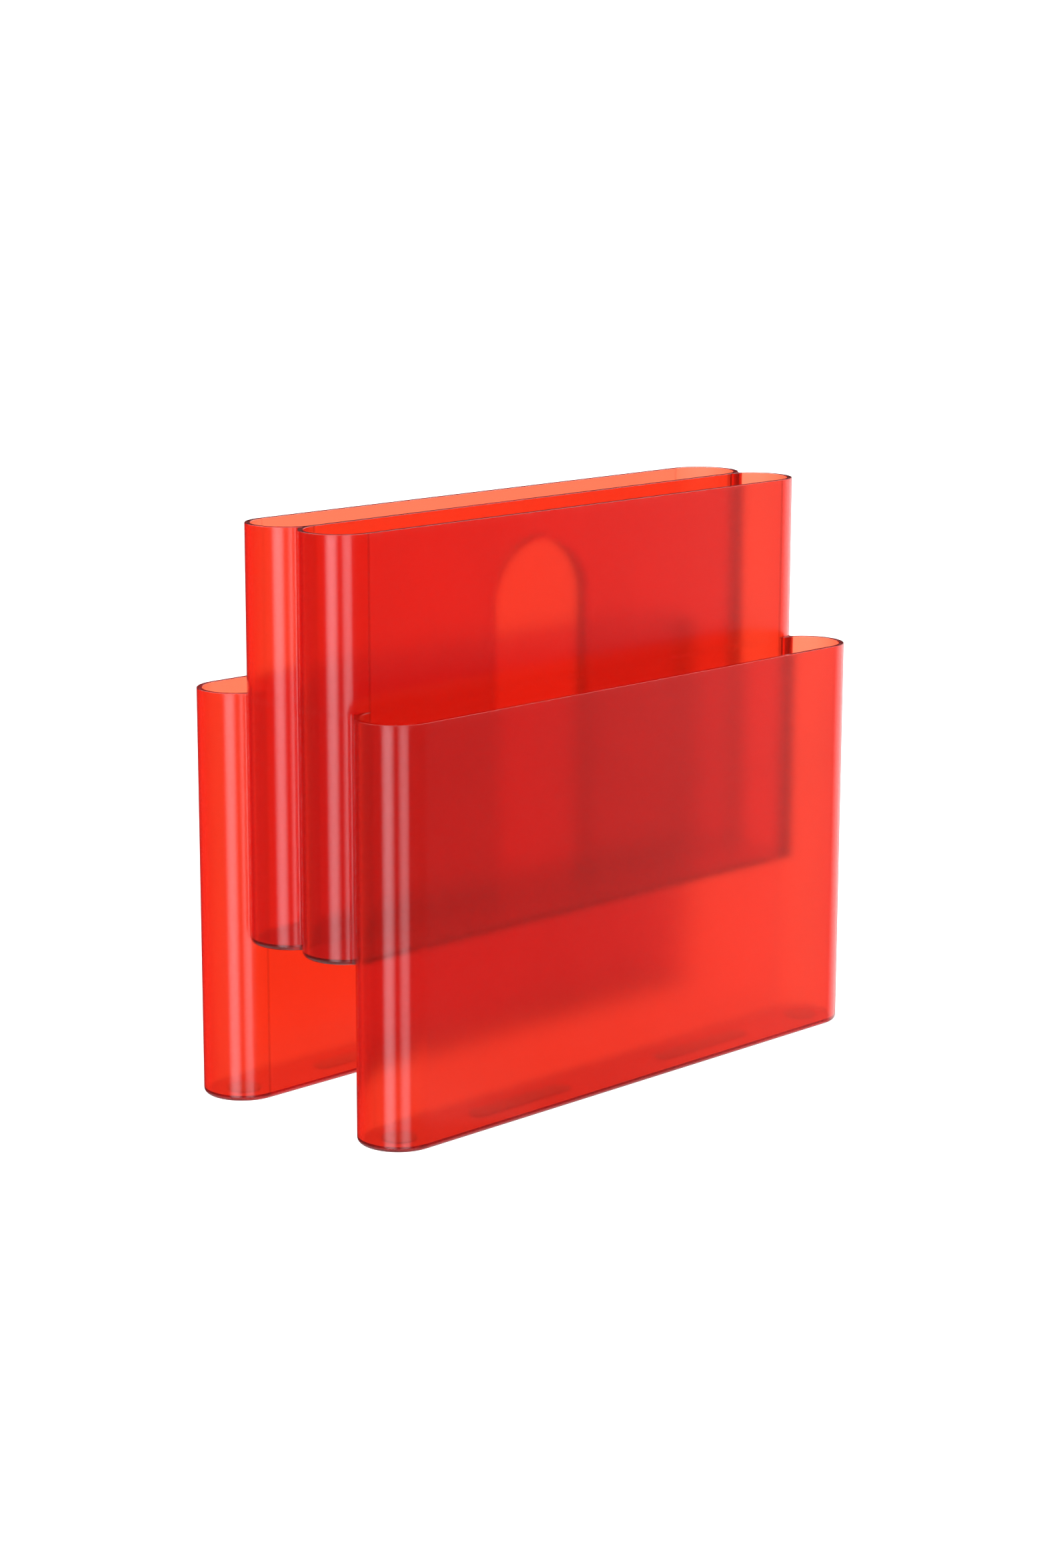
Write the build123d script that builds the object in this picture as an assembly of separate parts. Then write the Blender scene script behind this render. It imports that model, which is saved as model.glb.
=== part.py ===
"""Four-pocket magazine rack in clear tinted acrylic.

Four upright pockets with half-round ends stand side by side and share their long walls. The two
outer pockets stand on the ground; the two inner pockets are the same height but are carried
higher, between the full-height walls. The wall between the inner pockets has an arched opening,
so the bar above it is the carrying grip. Eight soft pads under the outer pockets are the feet.

X runs along the rack, Y from the front pocket to the rear pocket, Z is up and z = 0 is the table.
The rear half mirrors the front half, and the right-hand ends mirror the left-hand ends.
"""
from build123d import *
import os

os.makedirs("parts", exist_ok=True)

# ---- driving dimensions (mm) -----------------------------------------------------------------
length = 400.0           # overall, end to end
wall = 3.2               # every wall and floor
pitch = 44.6             # from the middle of one pocket to the middle of the next
pocket_height = 244.0    # outside height of every pocket, floor to rim
lift = 100.0             # how much higher the two inner pockets are carried
foot_proud = 1.0         # the feet hold the walls this far off the table
base_round = 3.0         # rounding round the bottom edge of each pocket
rim_round = 0.5          # polished rounding on the rims
groove_round = 2.5       # fillet in the groove where two pocket ends meet

grip_width = 76.6        # arched opening in the centre wall
grip_bar = 24.3          # height of wall left above the arch
lip = 3.2                # width of the lip round the arch
lip_stand = 4.0          # the lip stands this far forward of the centre wall

foot_recess = 0.8        # depth of the seats under the floors
long_foot_length = 80.0
long_foot_width = 12.0
long_foot_x = 80.0       # centres of the long feet
round_foot_diameter = 20.0

# ---- sizes that follow from them ---------------------------------------------------------------
end_radius = (pitch + wall) / 2            # outside radius of a pocket end
end_x = length / 2 - end_radius            # where the flat walls turn into the half-round ends
half_wall = wall / 2
base_z = foot_proud
inner_z = base_z + lift
low_rim_z = base_z + pocket_height
top_z = inner_z + pocket_height
arch_top = top_z - grip_bar
arch_radius = grip_width / 2
arch_spring = arch_top - arch_radius
sill_z = inner_z + wall
far = length                               # well outside the rack, for cutting

outer_y = -1.5 * pitch                     # middle of the front pocket
inner_y = -0.5 * pitch                     # middle of the inner front pocket
divider_y = -pitch                         # middle of the wall between those two


def block(x0, x1, y0, y1, z0, z1):
    """A plain box between two corners."""
    return Pos((x0 + x1) / 2, (y0 + y1) / 2, (z0 + z1) / 2) * Box(x1 - x0, y1 - y0, z1 - z0)


def outline(y, inset=0.0):
    """Plan of a pocket centred on y: a long shape with half-round ends."""
    return Pos(0, y) * SlotOverall(length - 2 * inset, 2 * (end_radius - inset))


def tube(y, z0, z1):
    """The walls of one pocket on its own, open at top and bottom, with its edges rounded."""
    outside = Pos(0, 0, z0) * extrude(outline(y), z1 - z0)
    outside = fillet(outside.edges().group_by(Axis.Z)[0], base_round)
    inside = Pos(0, 0, z0) * extrude(outline(y, wall), z1 - z0)
    walls = outside - inside
    return fillet(walls.edges().group_by(Axis.Z)[-1], rim_round)


def groove_webs(y, z0, z1):
    """The small fillets that fill the two end grooves between the pockets either side of y."""
    pair = outline(y - pitch / 2) + outline(y + pitch / 2)
    corners = [v for v in pair.vertices() if abs(v.Y - y) < 0.1 and abs(v.X) > end_x]
    webs = fillet(corners, groove_round) - pair
    return Pos(0, 0, z0) * extrude(webs, z1 - z0)


def floor(y, z0):
    """Flat plate that closes the bottom of a pocket, between its walls."""
    return Pos(0, 0, z0) * extrude(outline(y, wall), wall)


def flat_wall(y, z0):
    """A flat dividing wall up to the tall rim, with its rim rounded."""
    plate = block(-end_x, end_x, y - half_wall, y + half_wall, z0, top_z)
    return fillet(plate.edges().filter_by(Axis.X).group_by(Axis.Z)[-1], rim_round)


def arch(radius, y0, y1):
    """A round-headed block that stands on the floor of the inner pockets."""
    legs = block(-radius, radius, y0, y1, sill_z, arch_spring)
    head = Pos(0, (y0 + y1) / 2, arch_spring) * Rot(90, 0, 0) * Cylinder(radius, y1 - y0)
    return legs + head


divider_webs = groove_webs(divider_y, inner_z, low_rim_z)
centre_webs = groove_webs(0, inner_z, top_z)

# ---- front half ---------------------------------------------------------------------------------
# The front pocket's shell is its long wall with both half-round ends. Beside the inner pocket the
# ends stop at the middle of the shared wall; below it they run on round to the divider.
beside_divider = block(-end_x, end_x, divider_y - half_wall, far, 0, top_z)
behind_middle = block(-far, far, divider_y, far, inner_z, top_z)
front_shell = tube(outer_y, base_z, low_rim_z) + divider_webs - beside_divider - behind_middle

# An inner pocket's half-round end. Above the low rim it runs round to the tall divider.
left_of_walls = block(-far, -end_x, -far, 0, inner_z, top_z)
front_of_middle = block(-far, far, -far, divider_y, 0, low_rim_z)
inner_tube = tube(inner_y, inner_z, top_z) + centre_webs + divider_webs
inner_end = (inner_tube & left_of_walls) - front_of_middle

# The divider stands on the table and closes both pockets at once.
divider = flat_wall(divider_y, base_z)
bottom_edges = divider.edges().filter_by(Axis.X).group_by(Axis.Z)[0]
divider = fillet(bottom_edges.sort_by(Axis.Y)[-1], base_round)

# Feet, and their seats under the floor.
foot_top = base_z + foot_recess
long_foot = extrude(Pos(-long_foot_x, outer_y) * SlotOverall(long_foot_length, long_foot_width), foot_top)
round_foot = extrude(Pos(-end_x, outer_y) * Circle(round_foot_diameter / 2), foot_top)
feet = {
    "long_foot_left": long_foot,
    "long_foot_right": mirror(long_foot, about=Plane.YZ),
    "round_foot_left": round_foot,
    "round_foot_right": mirror(round_foot, about=Plane.YZ),
}
outer_floor = floor(outer_y, base_z)
for foot in feet.values():
    outer_floor -= foot

half = {
    "pocket_shell": front_shell,
    "pocket_floor": outer_floor,
    "divider": divider,
    "inner_end_left": inner_end,
    "inner_end_right": mirror(inner_end, about=Plane.YZ),
    "inner_floor": floor(inner_y, inner_z),
}
half.update(feet)

# ---- all pieces ---------------------------------------------------------------------------------
parts = {}
for name, shape in half.items():
    parts["front_" + name] = shape
    parts["rear_" + name] = mirror(shape, about=Plane.XZ)

# The wall between the inner pockets carries the arched grip opening and its raised lip.
lip_block = arch(arch_radius + lip, -half_wall - lip_stand, half_wall)
opening = arch(arch_radius, -far, far)
parts["centre_grip_wall"] = flat_wall(0, inner_z) + lip_block - opening

for name, shape in parts.items():
    shape.label = name
    export_step(shape, "parts/" + name + ".step")
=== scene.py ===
"""Looks of the clear red magazine rack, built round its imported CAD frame. Lengths are in metres."""

import math
import bmesh
import bpy
from mathutils import Matrix, Vector


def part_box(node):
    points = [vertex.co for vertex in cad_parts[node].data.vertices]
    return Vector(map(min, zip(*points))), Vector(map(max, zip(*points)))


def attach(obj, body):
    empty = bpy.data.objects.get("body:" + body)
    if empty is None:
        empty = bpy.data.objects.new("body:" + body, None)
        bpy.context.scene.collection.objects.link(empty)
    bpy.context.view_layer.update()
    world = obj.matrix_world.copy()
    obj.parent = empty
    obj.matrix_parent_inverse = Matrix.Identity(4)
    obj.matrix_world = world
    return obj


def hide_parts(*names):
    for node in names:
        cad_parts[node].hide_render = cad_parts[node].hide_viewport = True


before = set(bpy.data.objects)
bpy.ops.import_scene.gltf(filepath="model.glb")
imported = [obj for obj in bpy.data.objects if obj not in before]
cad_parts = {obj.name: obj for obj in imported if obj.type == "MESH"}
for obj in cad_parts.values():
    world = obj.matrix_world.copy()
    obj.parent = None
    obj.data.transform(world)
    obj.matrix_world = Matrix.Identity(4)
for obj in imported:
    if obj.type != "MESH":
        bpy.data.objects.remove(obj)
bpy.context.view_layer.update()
MM = 0.001

# ---- sizes read from the frame ---------------------------------------------------------------------
divider_low, divider_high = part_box("front_divider")
shell_low, shell_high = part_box("front_pocket_shell")
grip_low, grip_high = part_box("centre_grip_wall")

WALL = divider_high.y - divider_low.y
PITCH = -(divider_high.y + divider_low.y) / 2      # from one pocket's middle to the next
RADIUS = (PITCH + WALL) / 2                         # outside radius of a pocket's end
END_X = divider_high.x                              # where the flat walls turn into the round ends
BASE_Z = shell_low.z
LOW_RIM = shell_high.z
INNER_Z = grip_low.z
TOP_Z = grip_high.z
LIP_FRONT = grip_low.y                              # foremost face of the lip round the grip opening

# ---- sizes that the boxes don't give, the same as in the CAD ----------------------------------------
BASE_ROUND = 3.0 * MM
RIM_ROUND = 0.5 * MM
GROOVE_ROUND = 2.5 * MM
GRIP_RADIUS = 38.3 * MM
GRIP_TOP = TOP_Z - 24.3 * MM
LIP = 3.2 * MM            # width of the lip round the grip opening
LIP_ROUND = 1.0 * MM
FOOT_ROUND = 0.5 * MM

BOND_GAP = 0.01 * MM      # each bonded face stands back this far, so that no two faces coincide
ARC_STEP = 3.0            # degrees between the columns of a round end
RIM_STEPS = 4             # faces across each rounding of a rim
ROUND_STEPS = 6           # faces across the outside rounding of a rim or base at a round end
BASE_STEPS = 8            # faces across the base rounding of a flat wall
LIP_STEPS = 5             # faces across each rounding of the lip
GRIP_STEPS = 60           # sections over the arch of the grip
SEAT_STEPS = 16           # faces over each half-round end of a foot
WELD = 0.002 * MM         # points closer than this become one
SLIVER = 0.001 * MM       # edges shorter than this are dissolved

HALF = WALL / 2
SILL_Z = INNER_Z + WALL
INNER_RADIUS = RADIUS - WALL


# ---- mesh helpers -----------------------------------------------------------------------------------
def new_object(name, bm, material, smooth_degrees=30.0):
    """Turns a bmesh into an object with smooth rounds and true flats."""
    bmesh.ops.remove_doubles(bm, verts=bm.verts, dist=WELD)
    bmesh.ops.dissolve_degenerate(bm, dist=SLIVER, edges=bm.edges)
    bmesh.ops.recalc_face_normals(bm, faces=bm.faces)
    for face in bm.faces:
        face.smooth = True
    mesh = bpy.data.meshes.new(name)
    bm.to_mesh(mesh)
    bm.free()
    mesh.set_sharp_from_angle(angle=math.radians(smooth_degrees))
    mesh.materials.append(material)
    obj = bpy.data.objects.new(name, mesh)
    bpy.context.scene.collection.objects.link(obj)
    weights = obj.modifiers.new("flat faces stay flat", "WEIGHTED_NORMAL")
    weights.keep_sharp = True
    weights.weight = 100
    return obj


def stand_for(obj, node):
    """The piece takes the place of its CAD node and moves with the rack."""
    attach(obj, "root")
    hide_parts(node)


def arc(centre_a, centre_b, radius, start, end, steps):
    """Points along an arc, as (a, b) pairs, from angle start to angle end in degrees."""
    points = []
    for i in range(steps + 1):
        angle = math.radians(start + (end - start) * i / steps)
        points.append((centre_a + radius * math.cos(angle), centre_b + radius * math.sin(angle)))
    return points


def skin(bm, columns, bonded):
    """Joins equal closed sections into a solid, with a bonded face at each end.

    bonded(i, k) says whether the face after column i and point k is bonded.
    """
    layer = bm.faces.layers.float.get("bond") or bm.faces.layers.float.new("bond")
    rings = [[bm.verts.new(p) for p in column] for column in columns]
    count = len(rings[0])
    for i in range(len(rings) - 1):
        for k in range(count):
            corners = (rings[i][k], rings[i][(k + 1) % count],
                       rings[i + 1][(k + 1) % count], rings[i + 1][k])
            face = bm.faces.new(corners)
            face[layer] = 1.0 if bonded(i, k) else 0.0
    for ring in (rings[0], rings[-1]):
        face = bm.faces.new(ring)
        face[layer] = 1.0


# ---- plan of a round end ----------------------------------------------------------------------------
GROOVE_REACH = RADIUS + GROOVE_ROUND                # from the middle of the end to that of the fillet
FILLET_ANGLE = math.asin(PITCH / 2 / GROOVE_REACH)  # where the fillet leaves the round end
GROOVE_X = math.cos(FILLET_ANGLE) * GROOVE_REACH - GROOVE_ROUND
GROOVE_ANGLE = math.atan2(PITCH / 2, GROOVE_X)      # bottom of the groove
JOIN_ANGLE = math.asin(PITCH / 2 / RADIUS)          # where the round end meets the middle of the wall
FILLET_STEPS = 6                                    # columns over the fillet
PAST_GROOVE = math.radians(0.05)                    # from the bottom of the groove to the next column
LEAST_STEP = math.radians(0.04)                     # columns closer than this are left out
SQUARE = math.radians(89.99)                        # past this angle a column touches the flat wall


def reach(angle, joined):
    """Outside radius at an angle from the rack's end towards a neighbour, 0 to 90 degrees.

    Where the neighbour is joined, the end stops at the middle of the shared wall, and the groove
    between the two is filleted.
    """
    if not joined or angle <= FILLET_ANGLE:
        return RADIUS
    if angle < GROOVE_ANGLE:
        off = angle - FILLET_ANGLE
        across = GROOVE_REACH * math.sin(off)
        return GROOVE_REACH * math.cos(off) - math.sqrt(GROOVE_ROUND ** 2 - across ** 2)
    return PITCH / 2 / math.sin(angle) - BOND_GAP


def end_angles():
    """Angles of the columns over a half-round end, with one on each corner of the groove."""
    steps = int(round(180 / ARC_STEP))
    angles = [math.radians(-90 + ARC_STEP * i) for i in range(steps + 1)]
    for corner in (FILLET_ANGLE, GROOVE_ANGLE, GROOVE_ANGLE + PAST_GROOVE, JOIN_ANGLE):
        angles += [corner, -corner]
    turn = GROOVE_ANGLE - FILLET_ANGLE
    fillet = [FILLET_ANGLE + turn * i / FILLET_STEPS for i in range(1, FILLET_STEPS)]
    angles += fillet + [-a for a in fillet]
    angles.sort()
    kept = [angles[0]]
    for a in angles[1:]:
        if a - kept[-1] > LEAST_STEP:
            kept.append(a)
    return kept


def section(angle, bottom, rim, step, joined_above, joined_below):
    """Closed section through an end at one angle, as (radius, z) points.

    joined_above and joined_below say whether the neighbour on this side is joined above and below
    the height called step.
    """
    side = abs(angle)
    above, below = reach(side, joined_above), reach(side, joined_below)

    def rounded(outer, joined, edge, size, sign):
        """Quarter round at the outside of the rim (sign 1) or of the base (sign -1)."""
        seam = joined and side > GROOVE_ANGLE
        middle = RADIUS - size if seam else outer - size
        points = []
        for i in range(ROUND_STEPS + 1):
            turn = math.radians(90 * i / ROUND_STEPS)
            radius = middle + size * math.sin(turn)
            height = edge - sign * size * (1 - math.cos(turn))
            if seam and radius > outer:
                radius = outer
                reached = max(0, outer - middle) / size
                height = edge - sign * size * (1 - math.sqrt(1 - reached ** 2))
            points.append((radius, height))
        return points

    points = [(INNER_RADIUS, bottom), (INNER_RADIUS, bottom + WALL)]
    points += arc(INNER_RADIUS + RIM_ROUND, rim - RIM_ROUND, RIM_ROUND, 180, 90, RIM_STEPS)
    points += rounded(above, joined_above, rim, RIM_ROUND, 1)
    points += [(above, step), (below, step)]
    points += list(reversed(rounded(below, joined_below, bottom, BASE_ROUND, -1)))
    return points


# faces of that section, counted by the point they start from
INNER_BOND = 0                                             # touches the floor
OUTER_ABOVE = 2 + (RIM_STEPS + 1) + (ROUND_STEPS + 1) - 1  # the outside above the step
LEDGE = OUTER_ABOVE + 1                                    # the step itself
OUTER_BELOW = LEDGE + 1                                    # the outside below the step


def end_columns(middle_y, hand, bottom, rim, step, front, rear):
    """World points of every column over one half-round end. hand is -1 left, 1 right.

    front and rear each say (joined above the step, joined below it) for that neighbour.
    """
    columns, angles = [], end_angles()
    for angle in angles:
        joins = rear if angle > 0 else front
        points = []
        for radius, z in section(angle, bottom, rim, step, *joins):
            x = END_X + radius * math.cos(angle)
            if abs(angle) > SQUARE:
                x = END_X + BOND_GAP
            points.append(Vector((hand * x, middle_y + radius * math.sin(angle), z)))
        columns.append(points)
    return columns, angles


def end_bond(angles, front, rear):
    """Says which faces of an end touch a neighbour: the floor, and the seam above or below the step."""
    def bonded(i, k):
        angle = (angles[i] + angles[i + 1]) / 2
        above, below = rear if angle > 0 else front
        seam = abs(angle) > GROOVE_ANGLE
        if k == INNER_BOND:
            return True
        if k == OUTER_ABOVE:
            return seam and above
        if k == LEDGE:
            return seam and above != below
        if k == OUTER_BELOW:
            return seam and below
        return False
    return bonded


# ---- materials --------------------------------------------------------------------------------------
class Nodes:
    """Short ways to add and join the nodes of one tree."""

    def __init__(self, tree):
        self.tree = tree

    def add(self, kind, **values):
        node = self.tree.nodes.new("ShaderNode" + kind)
        for key, value in values.items():
            setattr(node, key, value)
        return node

    def join(self, output, node_input):
        self.tree.links.new(output, node_input)

    def ramp(self, value, low, high, to_low, to_high, curve="LINEAR"):
        """value from low to high becomes to_low to to_high."""
        node = self.add("MapRange", interpolation_type=curve)
        limits = {"From Min": low, "From Max": high, "To Min": to_low, "To Max": to_high}
        for name, number in limits.items():
            node.inputs[name].default_value = number
        self.join(value, node.inputs["Value"])
        return node.outputs["Result"]

    def maths(self, operation, first, second):
        node = self.add("Math", operation=operation)
        for socket, value in zip(node.inputs, (first, second)):
            if isinstance(value, (int, float)):
                socket.default_value = value
            else:
                self.join(value, socket)
        return node.outputs["Value"]

    def blend(self, first, second, share):
        """first where share is 0, second where it is 1."""
        return self.maths("ADD", self.maths("MULTIPLY", self.maths("SUBTRACT", second, first), share), first)

    def noise(self, place, scale, detail=2.0):
        node = self.add("TexNoise")
        node.inputs["Scale"].default_value = scale
        node.inputs["Detail"].default_value = detail
        self.join(place, node.inputs["Vector"])
        return node.outputs["Fac"]

    def mottle(self, place, scale, detail, least, most):
        """Soft cloudy variation between two values."""
        return self.ramp(self.noise(place, scale, detail), 0.3, 0.7, least, most)


ACRYLIC_IOR = 1.49
POLISH = 0.175            # roughness of the clean walls: things far behind them blur a little
UNEVEN = 0.004            # how much that roughness varies from place to place
DULLEST = 0.08            # roughness that wear adds along the edges
RIM_WEAR = 4 * MM         # width of the worn strip along a rim
BASE_WEAR = 5 * MM        # and along the base
# share of red, green and blue that a wall lets through on the path of depth DEPTH_CROSSED
PASSED = (0.996, 0.183, 0.095)
DEPTH_CROSSED = 3.65 * MM


def acrylic_material():
    """Clear red acrylic. Light is coloured by the depth of plastic that it crosses.

    Faces marked as bonded bend no light, so the joined pieces read as one clear body. The gloss is a
    little uneven, and duller with fine scratches along the rims and the base, where it is handled.
    """
    material = bpy.data.materials.new("tinted_acrylic")
    material.use_nodes = True
    tree = Nodes(material.node_tree)
    shader = material.node_tree.nodes["Principled BSDF"]
    shader.inputs["Transmission Weight"].default_value = 1.0
    shader.inputs["IOR"].default_value = ACRYLIC_IOR
    bond = tree.add("Attribute", attribute_name="bond").outputs["Fac"]
    tree.join(tree.ramp(bond, 0, 1, ACRYLIC_IOR, 1.0), shader.inputs["IOR"])

    place = tree.add("TexCoord").outputs["Object"]
    height = tree.add("SeparateXYZ")
    tree.join(place, height.inputs["Vector"])
    # how near a point is to an edge that hands and the table touch: 1 on it, 0 a little way off
    worn = None
    for edge, width in ((BASE_Z, BASE_WEAR), (LOW_RIM, RIM_WEAR), (TOP_Z, RIM_WEAR)):
        off = tree.maths("ABSOLUTE", tree.maths("SUBTRACT", height.outputs["Z"], edge), 0)
        near = tree.ramp(off, 0, width, 1, 0, "SMOOTHSTEP")
        worn = near if worn is None else tree.maths("MAXIMUM", worn, near)

    shade = tree.mottle(place, 14.0, 3.0, 0.82, 0.85)
    colour = tree.add("CombineColor")
    for channel in ("Red", "Green", "Blue"):
        tree.join(shade, colour.inputs[channel])
    tree.join(colour.outputs["Color"], shader.inputs["Base Color"])

    haze = tree.mottle(place, 60.0, 4.0, POLISH - UNEVEN, POLISH + UNEVEN)
    scuffs = tree.ramp(tree.noise(place, 420.0), 0.45, 0.65, 0, DULLEST)
    dulled = tree.maths("MULTIPLY", worn, scuffs)
    tree.join(tree.maths("ADD", haze, dulled), shader.inputs["Roughness"])

    bump = tree.add("Bump")
    bump.inputs["Strength"].default_value = 0.1
    bump.inputs["Distance"].default_value = 0.01 * MM
    scratches = tree.maths("MULTIPLY", worn, tree.noise(place, 900.0, 1.0))
    ripple = tree.noise(place, 9.0, 1.0)
    tree.join(tree.maths("ADD", ripple, scratches), bump.inputs["Height"])
    tree.join(bump.outputs["Normal"], shader.inputs["Normal"])

    taken = [-math.log(p) / DEPTH_CROSSED for p in PASSED]
    most = max(taken)
    volume = tree.add("VolumeAbsorption")
    volume.inputs["Color"].default_value = (*[1 - t / most for t in taken], 1)
    volume.inputs["Density"].default_value = most
    output = material.node_tree.nodes["Material Output"]
    tree.join(volume.outputs["Volume"], output.inputs["Volume"])
    return material


def pad_material():
    """Clear soft vinyl of the feet, a little warm and slightly pitted."""
    material = bpy.data.materials.new("foot_pad")
    material.use_nodes = True
    shader = material.node_tree.nodes["Principled BSDF"]
    tree = Nodes(material.node_tree)
    place = tree.add("TexCoord").outputs["Object"]
    shade = tree.mottle(place, 180.0, 3.0, 0.92, 0.98)
    colour = tree.add("CombineColor")
    for channel in ("Red", "Green"):
        tree.join(shade, colour.inputs[channel])
    tree.join(tree.maths("MULTIPLY", shade, 0.97), colour.inputs["Blue"])
    tree.join(colour.outputs["Color"], shader.inputs["Base Color"])
    tree.join(tree.mottle(place, 700.0, 2.0, 0.08, 0.16), shader.inputs["Roughness"])
    bump = tree.add("Bump")
    bump.inputs["Strength"].default_value = 0.3
    bump.inputs["Distance"].default_value = 0.05 * MM
    tree.join(tree.noise(place, 1500.0), bump.inputs["Height"])
    tree.join(bump.outputs["Normal"], shader.inputs["Normal"])
    shader.inputs["Transmission Weight"].default_value = 1.0
    shader.inputs["IOR"].default_value = 1.5
    return material


acrylic = acrylic_material()
vinyl = pad_material()


# ---- the outer pockets' shells ----------------------------------------------------------------------
def pocket_shell(name, turn):
    """Long wall with both half-round ends. turn is 1 at the front and -1 at the rear."""
    joined, free = (True, False), (False, False)
    left, angles = end_columns(-1.5 * PITCH, -1, BASE_Z, LOW_RIM, INNER_Z, free, joined)
    right, _ = end_columns(-1.5 * PITCH, 1, BASE_Z, LOW_RIM, INNER_Z, free, joined)
    # from the divider round the left end, along the front and round the right end
    columns = list(reversed(left)) + right
    for column in (columns[len(left) - 1], columns[len(left)]):
        hand = -1 if column[0].x < 0 else 1
        for point in column:
            point.x = hand * END_X
    count = len(left)
    bond = end_bond(angles, free, joined)

    def bonded(i, k):
        if i == count - 1:
            return k == INNER_BOND
        if i < count - 1:
            return bond(count - 2 - i, k)
        return bond(i - count, k)

    bm = bmesh.new()
    for column in columns:
        for point in column:
            point.y *= turn
            point.x *= turn
    skin(bm, columns, bonded)
    return new_object(name, bm, acrylic)


def inner_end(name, hand, turn):
    """Half-round end of an inner pocket. turn is 1 at the front and -1 at the rear."""
    outer_side, centre_side = (False, True), (True, True)
    columns, angles = end_columns(-0.5 * PITCH, hand, INNER_Z, TOP_Z, LOW_RIM, outer_side, centre_side)
    for column in columns:
        for point in column:
            point.y *= turn
    bm = bmesh.new()
    skin(bm, columns, end_bond(angles, outer_side, centre_side))
    return new_object(name, bm, acrylic)


# ---- flat walls -------------------------------------------------------------------------------------
def divider(name, turn):
    """Full-height flat wall between an outer and an inner pocket."""
    outer, inner = -(PITCH + HALF), -(PITCH - HALF)
    profile = [(outer, BASE_Z), (outer, BASE_Z + WALL)]
    profile += arc(outer + RIM_ROUND, TOP_Z - RIM_ROUND, RIM_ROUND, 180, 90, RIM_STEPS)
    profile += arc(inner - RIM_ROUND, TOP_Z - RIM_ROUND, RIM_ROUND, 90, 0, RIM_STEPS)
    profile += [(inner, SILL_Z), (inner, INNER_Z)]
    profile += arc(inner - BASE_ROUND, BASE_Z + BASE_ROUND, BASE_ROUND, 0, -90, BASE_STEPS)
    touching = {0, 2 + 2 * (RIM_STEPS + 1)}    # the faces against the outer and the inner floor
    columns = []
    for x in (-(END_X - BOND_GAP), END_X - BOND_GAP):
        columns.append([Vector((x, turn * y, z)) for y, z in profile])
    bm = bmesh.new()
    skin(bm, columns, lambda i, k: k in touching)
    return new_object(name, bm, acrylic)


def grip_wall(name):
    """Centre wall with its arched opening and the rounded lip that stands forward round it."""
    lip_back = -HALF
    outer, inner = GRIP_RADIUS + LIP, GRIP_RADIUS
    spring = GRIP_TOP - GRIP_RADIUS
    # section of the lip: (distance from the middle of the opening, y)
    profile = [(outer, lip_back)]
    profile += arc(outer - LIP_ROUND, LIP_FRONT + LIP_ROUND, LIP_ROUND, 0, -90, LIP_STEPS)
    profile += arc(inner + LIP_ROUND, LIP_FRONT + LIP_ROUND, LIP_ROUND, -90, -180, LIP_STEPS)
    middle = len(profile)
    profile += [(inner, lip_back)]
    profile += arc(inner + LIP_ROUND, HALF - LIP_ROUND, LIP_ROUND, 180, 90, LIP_STEPS)

    def column(place):
        points = []
        for distance, y in profile:
            x, z = place(distance)
            points.append(Vector((x, y, z)))
        return points

    columns = [column(lambda d: (-d, SILL_Z))]
    for i in range(GRIP_STEPS + 1):
        angle = math.pi * i / GRIP_STEPS
        columns.append(column(lambda d, a=angle: (-d * math.cos(a), spring + d * math.sin(a))))
    columns.append(column(lambda d: (d, SILL_Z)))

    bm = bmesh.new()
    layer = bm.faces.layers.float.new("bond")
    rings = [[bm.verts.new(p) for p in c] for c in columns]
    for i in range(len(rings) - 1):
        for k in range(len(profile) - 1):
            bm.faces.new((rings[i][k], rings[i][k + 1], rings[i + 1][k + 1], rings[i + 1][k]))

    far = END_X - BOND_GAP
    top = [(-HALF, TOP_Z - RIM_ROUND)]
    top += arc(-HALF + RIM_ROUND, TOP_Z - RIM_ROUND, RIM_ROUND, 180, 90, RIM_STEPS)[1:]
    top += arc(HALF - RIM_ROUND, TOP_Z - RIM_ROUND, RIM_ROUND, 90, 0, RIM_STEPS)
    edge = [(HALF, SILL_Z), (HALF, INNER_Z), (-HALF, INNER_Z), (-HALF, SILL_Z)]
    sides = {}
    for hand in (-1, 1):
        sides[hand] = [bm.verts.new((hand * far, y, z)) for y, z in top + edge]
        bm.faces.new(sides[hand])[layer] = 1.0
    left, right = sides[-1], sides[1]
    count = len(top)
    for k in range(count - 1):
        bm.faces.new((left[k], left[k + 1], right[k + 1], right[k]))
    back_sill, back_low, front_low, front_sill = range(count, count + 4)
    first, last = rings[0], rings[-1]
    # bottom, the two strips that touch the floors, and the sill of the opening
    bm.faces.new((left[back_low], right[back_low], right[front_low], left[front_low]))
    strip = bm.faces.new([left[front_sill], left[front_low], right[front_low], right[front_sill],
                          last[0], last[middle], first[middle], first[0]])
    strip[layer] = 1.0
    strip = bm.faces.new([right[back_sill], right[back_low], left[back_low], left[back_sill],
                          first[-1], last[-1]])
    strip[layer] = 1.0
    bm.faces.new(first[middle:] + last[middle:][::-1])
    bm.faces.new(first[:middle + 1])
    bm.faces.new(last[:middle + 1][::-1])
    # the two large faces, each one outline that runs up and over the arch
    bm.faces.new([left[0], left[front_sill]] + [r[0] for r in rings] + [right[front_sill], right[0]])
    bm.faces.new([right[count - 1], right[back_sill]] + [r[-1] for r in reversed(rings)]
                 + [left[back_sill], left[count - 1]])
    return new_object(name, bm, acrylic)


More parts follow.
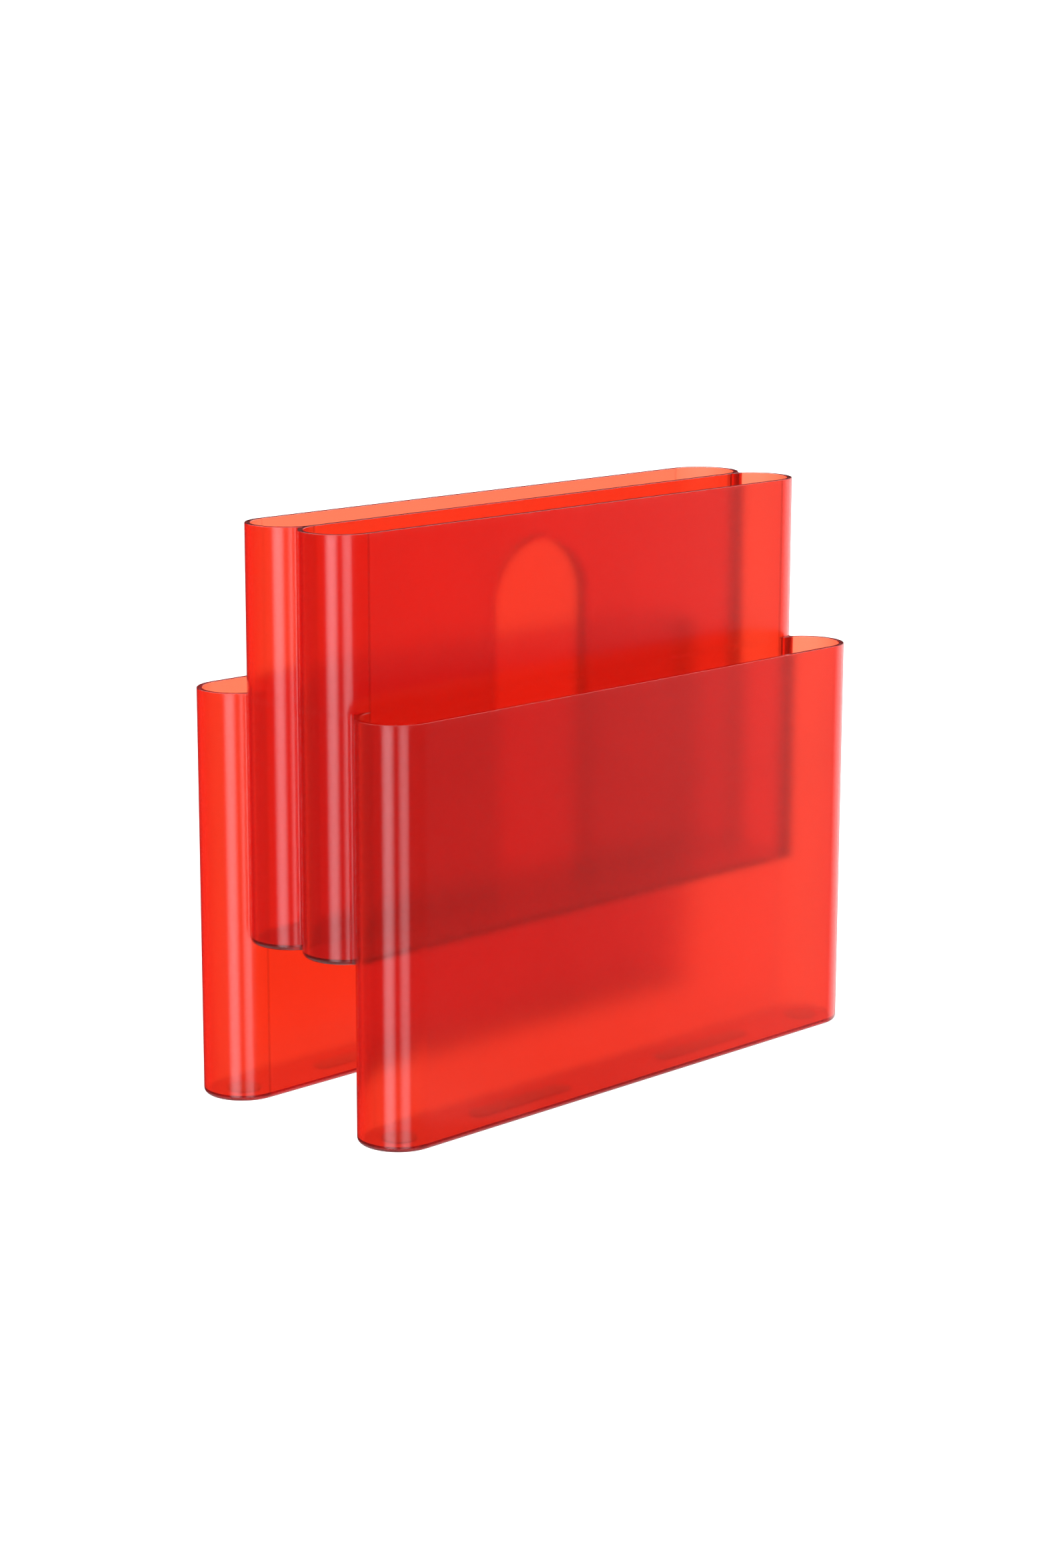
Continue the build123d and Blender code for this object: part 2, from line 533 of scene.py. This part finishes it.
# ---- floors and feet --------------------------------------------------------------------------------
def stadium(middle_x, middle_y, half_length, radius, steps=30):
    """Plan of a long shape with half-round ends."""
    points = []
    for hand, start in ((1, -90), (-1, 90)):
        centre = middle_x + hand * (half_length - radius)
        points += arc(centre, middle_y, radius, start, start + 180, steps)
    return points


def plate(bm, plan, z0, z1, bond_sides):
    """Flat plate over a plan. bond_sides marks its edge as bonded."""
    layer = bm.faces.layers.float.get("bond") or bm.faces.layers.float.new("bond")
    low = [bm.verts.new((x, y, z0)) for x, y in plan]
    high = [bm.verts.new((x, y, z1)) for x, y in plan]
    for i in range(len(plan)):
        j = (i + 1) % len(plan)
        bm.faces.new((low[i], low[j], high[j], high[i]))[layer] = 1.0 if bond_sides else 0.0
    bm.faces.new(high)
    bm.faces.new(low[::-1])


FEET = [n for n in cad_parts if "_foot_" in n]


def pocket_floor(name, middle_y, bottom, seats):
    """Floor plate between the walls of a pocket, with a shallow seat over each foot."""
    bm = bmesh.new()
    gap = 2 * BOND_GAP
    plan = stadium(0, middle_y, END_X + INNER_RADIUS - gap, INNER_RADIUS - gap)
    plate(bm, plan, bottom, bottom + WALL, True)
    obj = new_object(name, bm, acrylic)
    for node in seats:
        low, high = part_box(node)
        middle = (low + high) / 2
        cutter_mesh = bmesh.new()
        half_length, radius = (high.x - low.x) / 2 + gap, (high.y - low.y) / 2 + gap
        plan = stadium(middle.x, middle.y, half_length, radius, SEAT_STEPS)
        plate(cutter_mesh, plan, low.z - WALL, high.z + gap, False)
        cutter = new_object("cutter", cutter_mesh, acrylic)
        cut = obj.modifiers.new("seat", "BOOLEAN")
        cut.object = cutter
        cut.solver = "EXACT"
        bpy.context.view_layer.update()
        evaluated = obj.evaluated_get(bpy.context.evaluated_depsgraph_get())
        mesh = bpy.data.meshes.new_from_object(evaluated)
        obj.modifiers.remove(cut)
        obj.data = mesh
        bpy.data.objects.remove(cutter)
    return obj


def foot(name):
    """Soft pad with its lower edge rounded."""
    low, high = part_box(name)
    middle = (low + high) / 2
    half_length, radius = (high.x - low.x) / 2, (high.y - low.y) / 2
    bm = bmesh.new()
    levels = [(FOOT_ROUND * (1 - math.sin(a)), low.z + FOOT_ROUND * (1 - math.cos(a)))
              for a in (math.radians(15 * i) for i in range(7))]
    levels.append((0.0, high.z))
    rings = []
    for inset, z in levels:
        plan = stadium(middle.x, middle.y, half_length - inset, radius - inset, SEAT_STEPS)
        rings.append([bm.verts.new((x, y, z)) for x, y in plan])
    for lower, upper in zip(rings, rings[1:]):
        for i in range(len(lower)):
            j = (i + 1) % len(lower)
            bm.faces.new((lower[i], lower[j], upper[j], upper[i]))
    bm.faces.new(rings[0][::-1])
    bm.faces.new(rings[-1])
    return new_object(name, bm, vinyl, 50.0)


# ---- assembly ---------------------------------------------------------------------------------------
SIDES = {"front": 1, "rear": -1}
pieces = {}
for side, turn in SIDES.items():
    pieces[side + "_pocket_shell"] = pocket_shell(side + "_shell_clear", turn)
    pieces[side + "_divider"] = divider(side + "_divider_clear", turn)
    for hand_name, hand in (("left", -1), ("right", 1)):
        node = side + "_inner_end_" + hand_name
        pieces[node] = inner_end(node + "_clear", hand, turn)
    seats = [n for n in FEET if n.startswith(side)]
    for node, middle, bottom, feet in ((side + "_pocket_floor", -1.5 * PITCH * turn, BASE_Z, seats),
                                       (side + "_inner_floor", -0.5 * PITCH * turn, INNER_Z, [])):
        pieces[node] = pocket_floor(node + "_clear", middle, bottom, feet)
pieces["centre_grip_wall"] = grip_wall("centre_grip_wall_clear")
for node in FEET:
    obj = foot(node)
    obj.name = node + "_pad"
    pieces[node] = obj
for node, obj in pieces.items():
    stand_for(obj, node)

# ---- stage, light and camera -------------------------------------------------------------------------
scene = bpy.context.scene
scene.view_settings.view_transform = "Standard"
BOUNCES = 80              # light runs along inside the walls for a long way
scene.cycles.max_bounces = BOUNCES
scene.cycles.transmission_bounces = BOUNCES
scene.cycles.glossy_bounces = BOUNCES
scene.cycles.transparent_max_bounces = 40

BACKDROP = 1.5            # brightness of the white behind and around the rack
DARK_SIDE = 0.04          # brightness of most of the room, which only the gloss shows
WINDOW_SIDE = 1.7         # brightness of the soft light to the right of the rack, in the gloss
WINDOW_AZIMUTH = 85.0     # its middle, in degrees from the front towards the right
FLOOR_GLOW = 0.8          # brightness of the pale floor in the gloss of the rounded edges
OVERHEAD = 2.0            # brightness overhead, in the gloss of the rims
CEILING = 0.6             # share of the backdrop's brightness that is left overhead

world = bpy.data.worlds.new("studio")
scene.world = world
world.use_nodes = True
world.cycles.sampling_method = "NONE"       # the gloss and the backdrop see different brightness
sky = Nodes(world.node_tree)
background = world.node_tree.nodes["Background"]
background.inputs["Color"].default_value = (1, 1, 1, 1)
path = sky.add("LightPath")
direction = sky.add("TexCoord").outputs["Generated"]
upward = sky.add("SeparateXYZ")
sky.join(direction, upward.inputs["Vector"])


def towards(azimuth):
    """How much the direction agrees with a level one at this azimuth: 1 when it is the same."""
    turn = math.radians(azimuth)
    agreement = sky.add("VectorMath", operation="DOT_PRODUCT")
    sky.join(direction, agreement.inputs[0])
    agreement.inputs[1].default_value = (math.sin(turn), -math.cos(turn), 0)
    return agreement.outputs["Value"]


window = sky.ramp(towards(WINDOW_AZIMUTH), 0.755, 0.95, DARK_SIDE, WINDOW_SIDE)
glow = sky.ramp(upward.outputs["Z"], -0.35, -0.6, 0, FLOOR_GLOW)
overhead = sky.ramp(upward.outputs["Z"], 0.3, 0.6, 0, OVERHEAD)
room = sky.maths("MAXIMUM", window, sky.maths("MAXIMUM", glow, overhead))
through = sky.ramp(upward.outputs["Z"], 0.35, 0.75, BACKDROP, BACKDROP * CEILING)
plain = sky.maths("MAXIMUM", path.outputs["Is Camera Ray"], path.outputs["Is Diffuse Ray"])
seen = sky.blend(sky.blend(through, room, path.outputs["Is Reflection Ray"]), BACKDROP, plain)
sky.join(seen, background.inputs["Strength"])

FLOOR_SIZE = 8.0
FLOOR_DROP = 0.2 * MM     # the floor lies this far below the pads
FLOOR_LIGHT = 1.4         # light that the floor gives off itself, so the rack casts almost no shadow
bpy.ops.mesh.primitive_plane_add(size=FLOOR_SIZE, location=(0, 0, -FLOOR_DROP))
ground = bpy.context.object
ground.name = "floor"
paper = bpy.data.materials.new("floor_paper")
paper.use_nodes = True
paper_shader = paper.node_tree.nodes["Principled BSDF"]
paper_shader.inputs["Base Color"].default_value = (0.12, 0.12, 0.12, 1)
paper_shader.inputs["Roughness"].default_value = 0.9
paper_shader.inputs["Specular IOR Level"].default_value = 0.0
paper_shader.inputs["Emission Color"].default_value = (1, 1, 1, 1)
paper_shader.inputs["Emission Strength"].default_value = FLOOR_LIGHT
ground.data.materials.append(paper)
ground.visible_glossy = False


STRIP_DISTANCE = 2.5
STRIP_HEIGHT = 3.0
STRIP_COLOUR = (1.0, 0.93, 1.0)


def strip_light(name, azimuth, width, brightness):
    """Upright strip with soft sides that shows only in the gloss of the rack."""
    data = bpy.data.lights.new(name, "AREA")
    data.shape = "RECTANGLE"
    data.size = width
    data.size_y = STRIP_HEIGHT
    data.color = STRIP_COLOUR
    data.energy = brightness * math.pi * width * STRIP_HEIGHT
    data.use_nodes = True
    tree = Nodes(data.node_tree)
    across = tree.add("SeparateXYZ")
    tree.join(tree.add("NewGeometry").outputs["Parametric"], across.inputs["Vector"])
    off_middle = tree.maths("ABSOLUTE", tree.maths("SUBTRACT", across.outputs["X"], 0.5), 0)
    faded = tree.ramp(off_middle, 0.1, 0.5, 1, 0, "SMOOTHSTEP")
    tree.join(faded, data.node_tree.nodes["Emission"].inputs["Strength"])
    lamp = bpy.data.objects.new(name, data)
    turn = math.radians(azimuth)
    lamp.location = (math.sin(turn) * STRIP_DISTANCE, -math.cos(turn) * STRIP_DISTANCE, 0)
    lamp.rotation_euler = (math.radians(90), 0, turn)
    lamp.visible_camera = False
    lamp.visible_diffuse = False
    lamp.visible_transmission = False
    scene.collection.objects.link(lamp)


strip_light("left_strip", azimuth=-68, width=1.8, brightness=5.8)
strip_light("right_strip", azimuth=-28, width=1.6, brightness=4.0)

CAMERA_AZIMUTH = math.radians(-45.56)
ELEVATION = math.radians(12.14)
ROLL = math.radians(0.116)
DISTANCE = 1.965
AIM = Vector((-0.0057, 0.0030, 0.1709))
VIEW_ANGLE = math.radians(27.225)
back = Vector((math.sin(CAMERA_AZIMUTH) * math.cos(ELEVATION),
               -math.cos(CAMERA_AZIMUTH) * math.cos(ELEVATION), math.sin(ELEVATION)))
camera_data = bpy.data.cameras.new("camera")
camera_data.sensor_fit = "VERTICAL"
camera_data.angle = VIEW_ANGLE
camera = bpy.data.objects.new("camera", camera_data)
scene.collection.objects.link(camera)
place = Matrix.Translation(AIM + back * DISTANCE)
facing = back.to_track_quat("Z", "Y").to_matrix().to_4x4()
camera.matrix_world = place @ facing @ Matrix.Rotation(ROLL, 4, "Z")
scene.camera = camera
